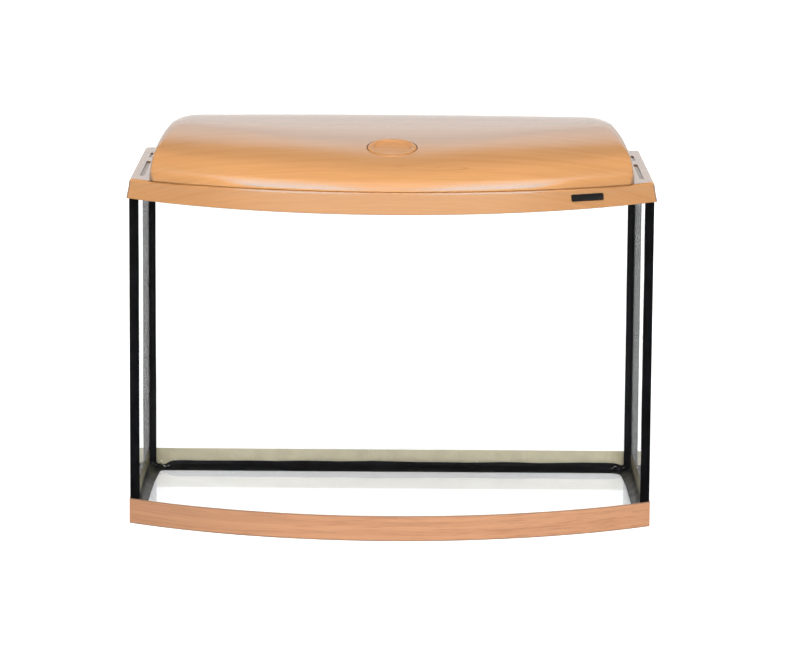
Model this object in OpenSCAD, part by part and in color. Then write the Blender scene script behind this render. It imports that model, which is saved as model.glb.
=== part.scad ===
// Bow-front glass aquarium with a moulded lid, lamp and feeding hatch.
// Millimetres. X runs left to right, Y front to back, Z up.
// Origin: middle of the straight-sided footprint, on the table.

/* [Glass box] */
// Length over the side glass
tank_length = 600; // [580:10:620]
// Depth from the front corners to the back of the glass
tank_depth = 300; // [290:5:310]
// How far the front glass bows out past its corners
front_bow = 88; // [84:1:92]
// Height of the wall glass
glass_height = 398; // [370:1:420]
// Thickness of the wall glass
wall_t = 5; // [4:0.5:6]
// Thickness of the base glass
base_t = 4; // [3:0.5:6]
// Thickness of the white sheet under the base glass
sheet_t = 0.5; // [0.3:0.1:1]

/* [Seams and trim] */
// Inside leg of the front corner seams
front_seam = 5; // [4:0.5:7]
// Inside leg of the back corner seams
back_seam = 8; // [5:0.5:10]
// Inside leg of the seams round the base
base_seam = 10; // [7:0.5:12]
// Height of the trim strip round the foot
trim_h = 29; // [22:1:36]
// Thickness of the trim strip
trim_t = 0.8; // [0.5:0.1:1.5]

/* [Lid] */
// How far the lid rim stands outside the glass
rim_overhang = 3.2; // [3:0.1:4]
// How far the lid front bows out past its corners
lid_bow = 103; // [100:1:106]
// Wall thickness of the lid rim
rim_t = 2.4; // [2:0.1:2.6]
// Wall thickness of the dome
dome_t = 2.5; // [2:0.1:3]
// Height of the dome above the flat ledges
dome_rise = 55; // [53:1:58]
// Width of the flat ledge at each side of the dome
ledge_w = 24; // [22:1:26]
// Diameter of the feeding hatch recess
hatch_d = 58; // [52:1:62]

/* [Lamp] */
// Diameter of the lamp tube
tube_d = 26; // [16:1:26]
// Length of the lamp tube without its pins
tube_l = 438; // [430:1:440]

/* [Hidden] */
$fn = 96;
EPS = 0.01;
FIT = 0.05;
BOW_FN = 256;

// Radius of an arc from half its chord and its rise.
function arc_radius(half_chord, rise) = (half_chord * half_chord + rise * rise) / (2 * rise);

// Glass box
half_l = tank_length / 2;
front_y = -tank_depth / 2;
back_y = tank_depth / 2;
bow_r = arc_radius(half_l, front_bow);
bow_cy = front_y - front_bow + bow_r;
bow_in_r = bow_r - wall_t;
inner_x = half_l - wall_t;
inner_back = back_y - wall_t;
joint_gap = 1;
front_gap = 2;
side_front_y = front_y + wall_t + front_gap;
floor_z = sheet_t + base_t;
seam_top = floor_z + base_seam;
reach = tank_length;

// Lid rim
rim_x = half_l + rim_overhang;
rim_back = back_y + rim_overhang;
rim_front = front_y - rim_overhang;
lid_r = arc_radius(rim_x, lid_bow);
lid_cy = rim_front - lid_bow + lid_r;
ledge_t = 3;
seat_z = glass_height + FIT;
lid_top = glass_height + ledge_t;
rim_round = 3;
rim_h = 22;
rim_z = lid_top - rim_h;
rim_drop = 3;
rim_lowest = rim_z - rim_drop;

// Dome
dome_x = half_l - ledge_w;
dome_back = back_y - 12;
dome_lip = 5;
dome_front_r = lid_r - dome_lip;
dome_top = lid_top + dome_rise;
crest_r = 640;
side_round = 34;
back_round = 30;
skirt_z = lid_top + 2;
front_r = 281;
front_slope = 33;
far_slope = 8;
dome_foot = glass_height - 8;

// Feeding hatch, square to the crest arc
hatch_tilt = 13.3;
hatch_y = -crest_r * sin(hatch_tilt);
hatch_z = dome_top - crest_r * (1 - cos(hatch_tilt));
recess_depth = 2.5;
hole_d = hatch_d - 7;
hatch_boss_d = hatch_d + 8;
hatch_boss_h = 7;
plug_proud = 0.8;
plug_d = hatch_d - 2;
plug_skirt_d = hole_d - 1;
plug_skirt_h = 9;
plug_wall = 2;
dish_d = plug_d - 10;
dish_depth = 1.6;

// Ledge slots
slot_w = 5;
slot_x = half_l - 13;
slot_ends = [[-122, 13], [48, 94]];

// Openings in the back of the rim
notch_w = 34;
notch_h = 14;
notch_x = [-210, 210];

// Rest ribs over the front glass
rib_w = 3;
rib_x = [-200, -100, 0, 100, 200];
rib_depth = 14;

// Lamp
tube_y = -20;
tube_z = lid_top + 23;
cap_l = 17;
cap_t = 0.6;
pin_d = 2.4;
pin_l = 7;
pin_pitch = 12.7;
half_tube = tube_l / 2;
holder_d = tube_d + 8;
holder_bore = tube_d + 1;
holder_in = half_tube - 14;
holder_out = half_tube + 18;
pin_room = half_tube + 9;
lug_t = 4;
lug_top = lid_top + 37;
lug_w = 22;
lug_reach = 25;
holder_x = half_tube + 2;
screw_pitch = 20;
screw_d = 3;
screw_l = 9;
screw_head_d = 6;
screw_head_h = 2;
boss_d = 8;
pilot_depth = 7;
seal_w = 4;

// Control gear
gear_x0 = -150;
gear_x1 = 0;
gear_y0 = 55;
gear_y1 = 120;
gear_z0 = lid_top + 9;
gear_z1 = lid_top + 37;
gear_wall = 2;
gear_cover_t = 2;
gear_screw_in = 6;
gear_screws_at = [[gear_x0 - gear_screw_in, 70], [gear_x0 - gear_screw_in, 105],
    [gear_x1 + gear_screw_in, 70], [gear_x1 + gear_screw_in, 105]];
ear_t = 3;
ear_d = 10;
cover_gap = 0.3;
cover_screws_at = [[gear_x0 + 6, gear_y0 + 6], [gear_x0 + 6, gear_y1 - 6],
    [gear_x1 - 6, gear_y0 + 6], [gear_x1 - 6, gear_y1 - 6]];
post_d = 8;

// Mains cord, folded and tied under the dome
cord_d = 5.5;
cord_y = 100;
cord_z = lid_top + 23;
fold_r = 8;
fold_near = 85;
fold_far = 205;
fold_pitch = 2 * fold_r;
plug_end = 70;
plug_y = cord_y - 3 * fold_pitch;
tie_x = 150;
tie_w = 4;
tie_t = 1.2;
tie_gap = 0.3;
gland_d = 12;
gland_l = 12;
lead_d = 4;
lead_z = lid_top + 17;
lead_bend = 12;
lead_y = 30;

// ---------- shared shapes ----------

// Upright disc about the axis of the front glass.
module bow_disc(radius, z0, z1) {
    translate([0, bow_cy, z0]) cylinder(r = radius, h = z1 - z0, $fn = BOW_FN);
}

// A box given by its two corners.
module box(from, to) {
    translate(from) cube(to - from);
}

// A flat outline pushed along X.
module along_x(x0, x1) {
    translate([x0, 0, 0]) rotate([90, 0, 90]) linear_extrude(x1 - x0) children();
}

// A flat outline pushed along Y, outline drawn in X and Z.
module along_y(y0, y1) {
    translate([0, y1, 0]) rotate([90, 0, 0]) linear_extrude(y1 - y0) children();
}

// Upright slab whose far top corner is rounded.
module rounded_end(width, z0, z1, radius) {
    translate([-reach, z0]) square([reach + width - radius, z1 - z0]);
    translate([-reach, z0]) square([reach + width, z1 - z0 - radius]);
    translate([width - radius, z1 - radius]) circle(radius);
}

// Slab with both top corners rounded.
module rounded_both(half_width, z0, z1, radius) {
    translate([-half_width, z0]) square([2 * half_width, z1 - z0 - radius]);
    translate([radius - half_width, z0]) square([2 * (half_width - radius), z1 - z0]);
    for (side = [-1, 1]) translate([side * (half_width - radius), z1 - radius]) circle(radius);
}

// Quarter-hollow fillet in the corner of a wall at the right and a floor below.
module fillet_right(leg) {
    difference() {
        translate([-leg, 0]) square(leg);
        translate([-leg, leg]) circle(leg);
    }
}

// ---------- glass box ----------

module base_plan(z0, z1) {
    intersection() {
        bow_disc(bow_in_r - joint_gap, z0, z1);
        box([joint_gap - inner_x, -reach, z0], [inner_x - joint_gap, inner_back - joint_gap, z1]);
    }
}

module base_sheet() {
    color("white") base_plan(0, sheet_t);
}

module base_glass() {
    color("lightcyan", 0.5) base_plan(sheet_t, floor_z);
}

module front_glass() {
    color("lightcyan", 0.4) intersection() {
        difference() {
            bow_disc(bow_r, 0, glass_height);
            bow_disc(bow_in_r, -1, glass_height + 1);
        }
        box([-half_l, -reach, 0], [half_l, 0, glass_height]);
    }
}

module back_glass() {
    color("lightcyan", 0.4) box([-half_l, inner_back, 0], [half_l, back_y, glass_height]);
}

module side_glass(side) {
    color("lightcyan", 0.4) translate([side * (half_l - wall_t / 2), 0, 0])
        box([-wall_t / 2, side_front_y, 0], [wall_t / 2, inner_back - joint_gap, glass_height]);
}

// ---------- silicone seams ----------

// Front corner: the wedge between the two panes and a bead inside it.
module seal_front(side) {
    color("black") mirror([side > 0 ? 0 : 1, 0, 0]) {
        intersection() {
            bow_disc(bow_in_r, 0, glass_height);
            box([inner_x, front_y - wall_t, 0], [half_l, side_front_y, glass_height]);
        }
        intersection() {
            bow_disc(bow_in_r, seam_top, glass_height);
            translate([inner_x, side_front_y, seam_top]) linear_extrude(glass_height - seam_top)
                polygon([[0, front_seam], [-front_seam - 1, -2 * wall_t], [0, -2 * wall_t]]);
        }
    }
}

// Back corner: the joint between the panes and a hollow bead inside it.
module seal_back(side) {
    color("black") {
        translate([side * (half_l - wall_t / 2), inner_back - joint_gap / 2, glass_height / 2])
            cube([wall_t, joint_gap, glass_height], center = true);
        translate([side * inner_x, inner_back, seam_top])
            linear_extrude(glass_height - seam_top)
            rotate(side > 0 ? 0 : 90)
            difference() {
                translate([-back_seam, -back_seam]) square(back_seam);
                translate([-back_seam, -back_seam]) circle(back_seam);
            }
    }
}

module seal_base_front() {
    color("black") intersection() {
        translate([0, bow_cy, 0]) rotate_extrude($fn = BOW_FN) {
            translate([bow_in_r, floor_z]) fillet_right(base_seam);
            translate([bow_in_r - joint_gap, sheet_t]) square([joint_gap, base_t]);
        }
        box([base_seam - inner_x, -reach, 0], [inner_x - base_seam, 0, glass_height]);
    }
}

module seal_base_back() {
    color("black") along_x(base_seam - inner_x, inner_x - base_seam) {
        translate([inner_back, floor_z]) fillet_right(base_seam);
        translate([inner_back - joint_gap, sheet_t]) square([joint_gap, base_t]);
    }
}

module seal_base_side(side) {
    color("black") difference() {
        intersection() {
            translate([side * (inner_x - base_seam / 2), 0, 0])
                box([-base_seam / 2, -reach, sheet_t], [base_seam / 2, inner_back, seam_top]);
            bow_disc(bow_in_r, 0, seam_top);
        }
        base_plan(-1, floor_z);
        translate([side * (inner_x - base_seam), 0, seam_top])
            rotate([90, 0, 0]) cylinder(r = base_seam, h = 2 * reach, center = true);
    }
}

// ---------- trim strip ----------

module trim_front() {
    color("burlywood") intersection() {
        difference() {
            bow_disc(bow_r + trim_t, 0, trim_h);
            bow_disc(bow_r, -1, trim_h + 1);
        }
        box([-half_l, -reach, 0], [half_l, 0, trim_h]);
    }
}

module trim_back() {
    color("burlywood") box([-half_l, back_y, 0], [half_l, back_y + trim_t, trim_h]);
}

module trim_side(side) {
    color("burlywood") translate([side * (half_l + trim_t / 2), 0, 0])
        box([-trim_t / 2, front_y, 0], [trim_t / 2, back_y + trim_t, trim_h]);
}

// ---------- lid shell ----------

// Solid filling the rim, smaller all round by inset.
module rim_block(inset, z0, z1, radius) {
    intersection() {
        translate([0, lid_cy, 0]) rotate_extrude() intersection() {
            rounded_end(lid_r - inset, z0, z1, radius);
            translate([0, z0]) square([reach, z1 - z0]);
        }
        along_y(-reach, reach) rounded_both(rim_x - inset, z0, z1, radius);
        along_x(-reach, reach) rounded_end(rim_back - inset, z0, z1, radius);
    }
}

// Turned shape of the dome front: a large arc running into a gentle slope.
module dome_front(inset) {
    arc_r = front_r - inset;
    arc_cx = dome_front_r - front_r * sin(front_slope);
    arc_cz = skirt_z - front_r * cos(front_slope);
    meet_x = arc_cx + arc_r * sin(far_slope);
    meet_z = arc_cz + arc_r * cos(far_slope);
    translate([0, lid_cy, 0]) rotate_extrude() {
        polygon([[0, dome_foot], [meet_x, dome_foot], [meet_x, meet_z],
            [0, meet_z + meet_x * tan(far_slope)]]);
        intersection() {
            translate([arc_cx, arc_cz]) circle(arc_r);
            translate([meet_x, dome_foot])
                square([dome_front_r - inset - meet_x, dome_rise + 20]);
        }
    }
}

// Solid filling the dome, smaller all round by inset.
module dome_block(inset) {
    intersection() {
        dome_front(inset);
        translate([0, 0, dome_top - crest_r]) rotate([0, 90, 0])
            cylinder(r = crest_r - inset, h = 2 * reach, center = true);
        along_y(-reach, reach)
            rounded_both(dome_x - inset, dome_foot, dome_top - inset, side_round - inset);
        along_x(-reach, reach)
            rounded_end(dome_back - inset, dome_foot, dome_top - inset, back_round - inset);
    }
}

// Moves its child onto the feeding hatch, Z square to the dome.
module at_hatch() {
    translate([0, hatch_y, hatch_z]) rotate([hatch_tilt, 0, 0]) children();
}

// Everything under the lower edge of the rim, which dips toward the middle of the bow.
module below_rim() {
    dip = atan(rim_drop / lid_bow);
    box([-reach, rim_front, -reach], [reach, reach, rim_z]);
    translate([0, rim_front, rim_z]) rotate([dip, 0, 0])
        box([-reach, -reach, -reach], [reach, 0, 0]);
}

module ledge_slot(side, ends) {
    box([side * slot_x - slot_w / 2, ends[0] + slot_w / 2, seat_z - 2],
        [side * slot_x + slot_w / 2, ends[1] - slot_w / 2, lid_top + 1]);
    for (y = [ends[0] + slot_w / 2, ends[1] - slot_w / 2])
        translate([side * slot_x, y, seat_z - 2]) cylinder(d = slot_w, h = ledge_t + 3);
}

// Round post under the dome with a pilot hole from below.
module lid_boss(x, y, z) {
    difference() {
        intersection() {
            translate([x, y, z]) cylinder(d = boss_d, h = dome_rise);
            dome_block(dome_t / 2);
        }
        translate([x, y, z - 1]) cylinder(d = screw_d, h = pilot_depth + 1);
    }
}

module rest_ribs() {
    for (x = rib_x) {
        glass_y = bow_cy - sqrt(bow_r * bow_r - x * x);
        intersection() {
            box([x - rib_w / 2, glass_y - rib_depth / 2, seat_z],
                [x + rib_w / 2, glass_y + rib_depth, dome_top]);
            dome_block(dome_t / 2);
        }
    }
}

module lid_shell() {
    color("sandybrown") {
        difference() {
            union() {
                rim_block(0, rim_lowest - 1, lid_top, rim_round);
                dome_block(0);
            }
            below_rim();
            rim_block(rim_t, rim_lowest - 2, seat_z, EPS * 10);
            difference() {
                dome_block(dome_t);
                at_hatch() translate([0, 0, -hatch_boss_h])
                    cylinder(d = hatch_boss_d, h = hatch_boss_h + 5);
            }
            at_hatch() translate([0, 0, -3 * hatch_boss_h]) cylinder(d = hole_d, h = dome_rise);
            at_hatch() translate([0, 0, -recess_depth]) cylinder(d = hatch_d, h = dome_rise);
            for (side = [-1, 1]) for (ends = slot_ends) ledge_slot(side, ends);
            for (x = notch_x)
                box([x - notch_w / 2, inner_back + wall_t + 1, rim_z - 1],
                    [x + notch_w / 2, rim_back + 5, rim_z + notch_h]);
        }
        rest_ribs();
        for (side = [-1, 1]) for (end = [-1, 1])
            lid_boss(side * holder_x, tube_y + end * screw_pitch, lug_top);
        for (spot = gear_screws_at) lid_boss(spot[0], spot[1], gear_z1);
    }
}

// Small plain plate on the rim, right of the middle.
module badge() {
    badge_turn = 26.5;
    badge_w = 39;
    badge_h = 8;
    badge_t = 0.6;
    badge_z = lid_top - 10.5;
    color("dimgray") translate([0, lid_cy, badge_z]) rotate([0, 0, badge_turn]) intersection() {
        difference() {
            cylinder(r = lid_r + badge_t, h = badge_h, center = true, $fn = BOW_FN);
            cylinder(r = lid_r, h = badge_h + 2, center = true, $fn = BOW_FN);
        }
        box([-badge_w / 2, -reach, -badge_h], [badge_w / 2, 0, badge_h]);
    }
}

module feeding_plug() {
    flange_h = recess_depth - FIT + plug_proud;
    color("peru") at_hatch() difference() {
        union() {
            translate([0, 0, FIT - recess_depth]) cylinder(d = plug_d, h = flange_h);
            translate([0, 0, -plug_skirt_h]) cylinder(d = plug_skirt_d, h = plug_skirt_h);
        }
        translate([0, 0, plug_proud - dish_depth]) cylinder(d = dish_d, h = dish_depth + 1);
        translate([0, 0, -plug_skirt_h - 1])
            cylinder(d = plug_skirt_d - 2 * plug_wall, h = plug_skirt_h - recess_depth + 1);
    }
}

// ---------- lamp ----------

// Moves its child to one end of the lamp, X pointing out of the tube.
module at_tube_end(side) {
    translate([0, tube_y, tube_z]) rotate([0, 0, side > 0 ? 0 : 180]) children();
}

// Round bar along X.
module bar(x0, x1, d) {
    translate([x0, 0, 0]) rotate([0, 90, 0]) cylinder(d = d, h = x1 - x0);
}

module lamp_tube() {
    body_end = half_tube - cap_t;
    color("white") translate([0, tube_y, tube_z]) bar(cap_l - half_tube, half_tube - cap_l, tube_d);
    color("white") for (side = [-1, 1]) at_tube_end(side)
        bar(half_tube - cap_l, body_end, tube_d - 2 * cap_t);
}

module tube_caps() {
    color("silver") for (side = [-1, 1]) at_tube_end(side) {
        difference() {
            bar(half_tube - cap_l, half_tube, tube_d);
            bar(half_tube - cap_l - 1, half_tube - cap_t, tube_d - 2 * cap_t);
        }
        for (pin = [-1, 1]) translate([0, pin * pin_pitch / 2, 0])
            bar(half_tube - cap_t / 2, half_tube + pin_l, pin_d);
    }
}

module lampholder(side) {
    color("gray") at_tube_end(side) difference() {
        union() {
            bar(holder_in, holder_out, holder_d);
            box([holder_x - lug_w / 2, -lug_reach, lug_top - lug_t - tube_z],
                [holder_x + lug_w / 2, lug_reach, lug_top - tube_z]);
        }
        bar(holder_in - 1, half_tube + 1, holder_bore);
        bar(half_tube, pin_room, pin_pitch + 2 * pin_d + 2);
        for (end = [-1, 1]) translate([holder_x, end * screw_pitch, 0])
            cylinder(d = screw_d + 0.4, h = dome_rise);
    }
}

// Soft rings that close the lampholders round the tube.
module lamp_seals() {
    ring_in = tube_d + 2 * FIT;
    color("black") for (side = [-1, 1]) at_tube_end(side) difference() {
        bar(holder_in - seal_w, holder_in, holder_d - 2);
        bar(holder_in - seal_w - 1, holder_in + 1, ring_in);
    }
}

// Pan-head screw pointing up, its head under z.
module screw(z) {
    translate([0, 0, z - screw_head_h]) cylinder(d = screw_head_d, h = screw_head_h);
    translate([0, 0, z - EPS]) cylinder(d = screw_d - 2 * EPS, h = screw_l);
}

module holder_screws() {
    color("silver") for (side = [-1, 1]) for (end = [-1, 1])
        translate([side * holder_x, tube_y + end * screw_pitch, 0]) screw(lug_top - lug_t);
}

// ---------- control gear ----------

module gear_case() {
    color("dimgray") difference() {
        union() {
            box([gear_x0, gear_y0, gear_z0], [gear_x1, gear_y1, gear_z1]);
            for (spot = gear_screws_at) {
                translate([spot[0], spot[1], gear_z1 - ear_t]) cylinder(d = ear_d, h = ear_t);
                box([min(spot[0], gear_x1 - 1), spot[1] - ear_d / 2, gear_z1 - ear_t],
                    [max(spot[0], gear_x0 + 1), spot[1] + ear_d / 2, gear_z1]);
            }
        }
        difference() {
            box([gear_x0 + gear_wall, gear_y0 + gear_wall, gear_z0 - 1],
                [gear_x1 - gear_wall, gear_y1 - gear_wall, gear_z1 - gear_wall]);
            for (spot = cover_screws_at) translate([spot[0], spot[1], gear_z0 + gear_cover_t])
                cylinder(d = post_d, h = gear_z1 - gear_z0);
        }
        for (spot = cover_screws_at) translate([spot[0], spot[1], gear_z0])
            cylinder(d = screw_d, h = screw_l + 2);
        for (spot = gear_screws_at) translate([spot[0], spot[1], gear_z1 - 2 * ear_t])
            cylinder(d = screw_d + 0.4, h = 3 * ear_t);
        translate([0, cord_y, cord_z]) bar(gear_x1 - 2 * gear_wall, gear_x1 + 1, gland_d - 4);
        translate([gear_x0 + 20, 0, lead_z]) rotate([90, 0, 0])
            translate([0, 0, -gear_y0 - 2 * gear_wall]) cylinder(d = lead_d + 0.2, h = 3 * gear_wall);
        translate([gear_x1 - 20, 0, lead_z]) rotate([90, 0, 0])
            translate([0, 0, -gear_y0 - 2 * gear_wall]) cylinder(d = lead_d + 0.2, h = 3 * gear_wall);
    }
}

module gear_cover() {
    inset = gear_wall + cover_gap;
    color("gray") difference() {
        box([gear_x0 + inset, gear_y0 + inset, gear_z0],
            [gear_x1 - inset, gear_y1 - inset, gear_z0 + gear_cover_t]);
        for (spot = cover_screws_at) translate([spot[0], spot[1], gear_z0 - 1])
            cylinder(d = screw_d + 0.4, h = gear_cover_t + 2);
    }
}

// Four screws through the case ears and four through the cover.
module gear_screws() {
    color("silver") {
        for (spot = gear_screws_at) translate([spot[0], spot[1], 0]) screw(gear_z1 - ear_t);
        for (spot = cover_screws_at) translate([spot[0], spot[1], 0]) screw(gear_z0);
    }
}

module ballast() {
    color("silver") box([gear_x0 + 16, gear_y0 + 14, gear_z0 + 6],
        [gear_x0 + 96, gear_y1 - 14, gear_z1 - gear_wall]);
}

module terminal_block() {
    color("ivory") difference() {
        box([gear_x1 - 42, gear_y0 + 16, gear_z1 - gear_wall - 12],
            [gear_x1 - 28, gear_y0 + 48, gear_z1 - gear_wall]);
        for (way = [0:2]) translate([0, gear_y0 + 22 + way * 10, gear_z1 - gear_wall - 7])
            bar(gear_x1 - 43, gear_x1 - 27, 3);
    }
}

// ---------- cords ----------

// Cord run along X at a given height across the lid.
module cord_run(x0, x1, y) {
    translate([0, y, cord_z]) bar(x0, x1, cord_d);
}

// Half-turn fold of the cord; bulges toward side.
module cord_fold(x, y, side) {
    translate([x, y, cord_z]) rotate([0, 0, side > 0 ? -90 : 90])
        rotate_extrude(angle = 180) translate([fold_r, 0]) circle(d = cord_d);
}

module cord_gland() {
    color("black") translate([0, cord_y, cord_z]) difference() {
        union() {
            bar(gear_x1 - gear_wall - 2, gear_x1, gland_d - 4 - 0.1);
            bar(gear_x1, gear_x1 + gland_l, gland_d);
        }
        bar(gear_x1 - gear_wall - 3, gear_x1 + gland_l + 1, cord_d + 0.1);
    }
}

module mains_cord() {
    color("black") {
        cord_run(gear_x1 - 10, fold_far, cord_y);
        cord_fold(fold_far, cord_y - fold_r, 1);
        cord_run(fold_near, fold_far, cord_y - fold_pitch);
        cord_fold(fold_near, cord_y - fold_pitch - fold_r, -1);
        cord_run(fold_near, fold_far, cord_y - 2 * fold_pitch);
        cord_fold(fold_far, cord_y - 2 * fold_pitch - fold_r, 1);
        cord_run(plug_end, fold_far, plug_y);
    }
}

module cord_tie() {
    inner = cord_d / 2 + tie_gap;
    outer = inner + tie_t;
    color("dimgray") difference() {
        box([tie_x, plug_y - outer, cord_z - outer], [tie_x + tie_w, cord_y + outer, cord_z + outer]);
        box([tie_x - 1, plug_y - inner, cord_z - inner],
            [tie_x + tie_w + 1, cord_y + inner, cord_z + inner]);
    }
}

// Flat two-pin mains plug with a ribbed cord sleeve.
module plug_body() {
    body_l = 36;
    sleeve_l = 14;
    color("black") translate([plug_end, plug_y, cord_z]) difference() {
        union() {
            bar(-sleeve_l, 0, 9);
            box([-body_l, -8, -6.5], [-sleeve_l + 1, 8, 6.5]);
            box([-body_l, -17, -6.5], [-body_l + 10, 17, 6.5]);
        }
        bar(-sleeve_l - 4, 1, cord_d + 0.1);
    }
}

module plug_pins() {
    mains_pitch = 19;
    mains_pin_d = 4;
    mains_pin_l = 19;
    color("silver") for (pin = [-1, 1])
        translate([plug_end, plug_y + pin * mains_pitch / 2, cord_z])
            bar(-36 - mains_pin_l, -36, mains_pin_d);
}

// Insulated lead from the gear case to a lampholder.
module lamp_lead(side) {
    start_x = side > 0 ? gear_x1 - 20 : gear_x0 + 20;
    end_x = side * (half_tube + 5);
    end_y = tube_y + holder_d / 2;
    corner_x = start_x + side * lead_bend;
    color("white") {
        translate([start_x, 0, lead_z]) rotate([90, 0, 0])
            translate([0, 0, -gear_y0 - 4]) cylinder(d = lead_d, h = gear_y0 + 4 - lead_y - lead_bend);
        translate([corner_x, lead_y + lead_bend, lead_z]) rotate([0, 0, side > 0 ? 180 : 270])
            rotate_extrude(angle = 90) translate([lead_bend, 0]) circle(d = lead_d);
        translate([0, lead_y, lead_z])
            bar(min(corner_x, end_x - side * lead_bend), max(corner_x, end_x - side * lead_bend), lead_d);
        translate([end_x - side * lead_bend, lead_y - lead_bend, lead_z])
            rotate([0, 0, side > 0 ? 0 : 90])
            rotate_extrude(angle = 90) translate([lead_bend, 0]) circle(d = lead_d);
        translate([end_x, 0, lead_z]) rotate([90, 0, 0])
            translate([0, 0, lead_bend - lead_y]) cylinder(d = lead_d, h = lead_y - lead_bend - end_y);
    }
}

base_sheet();
base_glass();
front_glass();
back_glass();
side_glass(-1);  // left_glass
side_glass(1);  // right_glass
seal_front(-1);  // seal_front_left
seal_front(1);  // seal_front_right
seal_back(-1);  // seal_back_left
seal_back(1);  // seal_back_right
seal_base_front();
seal_base_back();
seal_base_side(-1);  // seal_base_left
seal_base_side(1);  // seal_base_right
trim_front();
trim_back();
trim_side(-1);  // trim_left
trim_side(1);  // trim_right
lid_shell();
badge();
feeding_plug();
lamp_tube();
tube_caps();
lampholder(-1);  // lampholder_left
lampholder(1);  // lampholder_right
lamp_seals();
holder_screws();
gear_case();
gear_cover();
gear_screws();
ballast();
terminal_block();
cord_gland();
mains_cord();
cord_tie();
plug_body();
plug_pins();
lamp_lead(-1);  // lamp_lead_left
lamp_lead(1);  // lamp_lead_right
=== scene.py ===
"""Looks of the bow-front aquarium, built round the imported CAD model. Metres, in the CAD's own frame."""

import math
import random

import bmesh
import bpy
import numpy as np
from mathutils import Matrix, Vector, noise


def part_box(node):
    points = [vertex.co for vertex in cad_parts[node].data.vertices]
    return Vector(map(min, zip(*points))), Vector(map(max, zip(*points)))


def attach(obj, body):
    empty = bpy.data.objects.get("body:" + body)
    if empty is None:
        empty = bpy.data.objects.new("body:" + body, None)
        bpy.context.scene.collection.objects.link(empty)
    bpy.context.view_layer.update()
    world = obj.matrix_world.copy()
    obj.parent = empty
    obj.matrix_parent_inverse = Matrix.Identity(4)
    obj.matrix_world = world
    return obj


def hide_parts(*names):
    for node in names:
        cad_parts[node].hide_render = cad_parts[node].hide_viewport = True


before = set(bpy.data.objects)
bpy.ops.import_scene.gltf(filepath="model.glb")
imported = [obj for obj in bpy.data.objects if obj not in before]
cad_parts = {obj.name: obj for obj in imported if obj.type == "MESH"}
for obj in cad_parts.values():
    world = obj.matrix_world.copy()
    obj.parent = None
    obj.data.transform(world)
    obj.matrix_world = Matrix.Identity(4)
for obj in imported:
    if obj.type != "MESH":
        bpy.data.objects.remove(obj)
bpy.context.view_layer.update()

MM = 0.001
TAU = 2 * math.pi

# ---------- sizes read from the CAD, in millimetres ----------


def box_mm(node):
    """Lowest and highest corner of a CAD node in millimetres."""
    low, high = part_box(node)
    return [c / MM for c in low], [c / MM for c in high]


LID_LOW, LID_HIGH = box_mm("lid_shell")
GLASS_LOW, GLASS_HIGH = box_mm("front_glass")
BACK_LOW, BACK_HIGH = box_mm("back_glass")
LEFT_LOW, LEFT_HIGH = box_mm("left_glass")
BASE_LOW, BASE_HIGH = box_mm("base_glass")
SHEET_LOW, _ = box_mm("base_sheet")
TRIM_LOW, TRIM_HIGH = box_mm("trim_left")
PLATE_LOW, PLATE_HIGH = box_mm("badge")
TUBE_LOW, TUBE_HIGH = box_mm("lamp_tube")
CASE_LOW, CASE_HIGH = box_mm("gear_case")

HALF_L = GLASS_HIGH[0]
FRONT_Y = TRIM_LOW[1]
BACK_Y = BACK_HIGH[1]
WALL = BACK_HIGH[1] - BACK_LOW[1]
GLASS_TOP = GLASS_HIGH[2]
BOW = FRONT_Y - GLASS_LOW[1]
FLOOR_Z = BASE_HIGH[2]
TRIM_T = -TRIM_LOW[0] - HALF_L
TRIM_H = TRIM_HIGH[2]
INNER_X = HALF_L - WALL
INNER_BACK = BACK_Y - WALL
LEDGE_Z = GLASS_TOP + 3.0  # top of the lid's ledges
DECK_Z = GLASS_TOP + 0.05  # underside of the lid's ledges
EMBED = 0.06  # how far touching pieces reach into each other


def arc_radius(half_chord, rise):
    """Radius of an arc from half its chord and its rise."""
    return (half_chord**2 + rise**2) / (2 * rise)


BOW_R = arc_radius(HALF_L, BOW)
BOW_CY = GLASS_LOW[1] + BOW_R


def bow_y(x, radius=BOW_R):
    """Y of the front arc of a given radius at x."""
    return BOW_CY - math.sqrt(radius**2 - x**2)


def clamp(value, low=0.0, high=1.0):
    return max(low, min(high, value))


# ---------- mesh helpers ----------


def clean_mesh(name, verts, faces):
    """Closed mesh from millimetres, with welded points and outward normals."""
    mesh = bpy.data.meshes.new(name)
    mesh.from_pydata([Vector(v) * MM for v in verts], [], [list(f) for f in faces])
    work = bmesh.new()
    work.from_mesh(mesh)
    bmesh.ops.remove_doubles(work, verts=work.verts, dist=1e-7)
    loose = [v for v in work.verts if not v.link_faces]
    bmesh.ops.delete(work, geom=loose, context="VERTS")
    bmesh.ops.recalc_face_normals(work, faces=work.faces)
    work.to_mesh(mesh)
    work.free()
    return mesh


def link_object(name, data):
    """New object holding this data, put in the scene."""
    obj = bpy.data.objects.new(name, data)
    bpy.context.scene.collection.objects.link(obj)
    return obj


def smooth(mesh, sharp):
    """Smooth shading with hard edges above an angle in degrees."""
    mesh.polygons.foreach_set("use_smooth", [True] * len(mesh.polygons))
    mesh.set_sharp_from_angle(angle=math.radians(sharp))


def paint(obj, *materials):
    """Gives an object these materials, in slot order."""
    obj.data.materials.clear()
    for material in materials:
        obj.data.materials.append(material)


def piece(name, shape, body, material, slot, *nodes, sharp=35.0):
    """Smooth-shaded piece riding on a body, with its material, hiding the CAD nodes it stands for. The slot
    argument is not used.
    """
    obj = link_object(name, clean_mesh(name, *shape))
    smooth(obj.data, sharp)
    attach(obj, body)
    paint(obj, material)
    if nodes:
        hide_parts(*nodes)
    return obj


def quad_band(one, two):
    """Faces between two closed rings of point numbers."""
    count = len(one)
    return [(one[k], one[(k + 1) % count], two[(k + 1) % count], two[k]) for k in range(count)]


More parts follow.
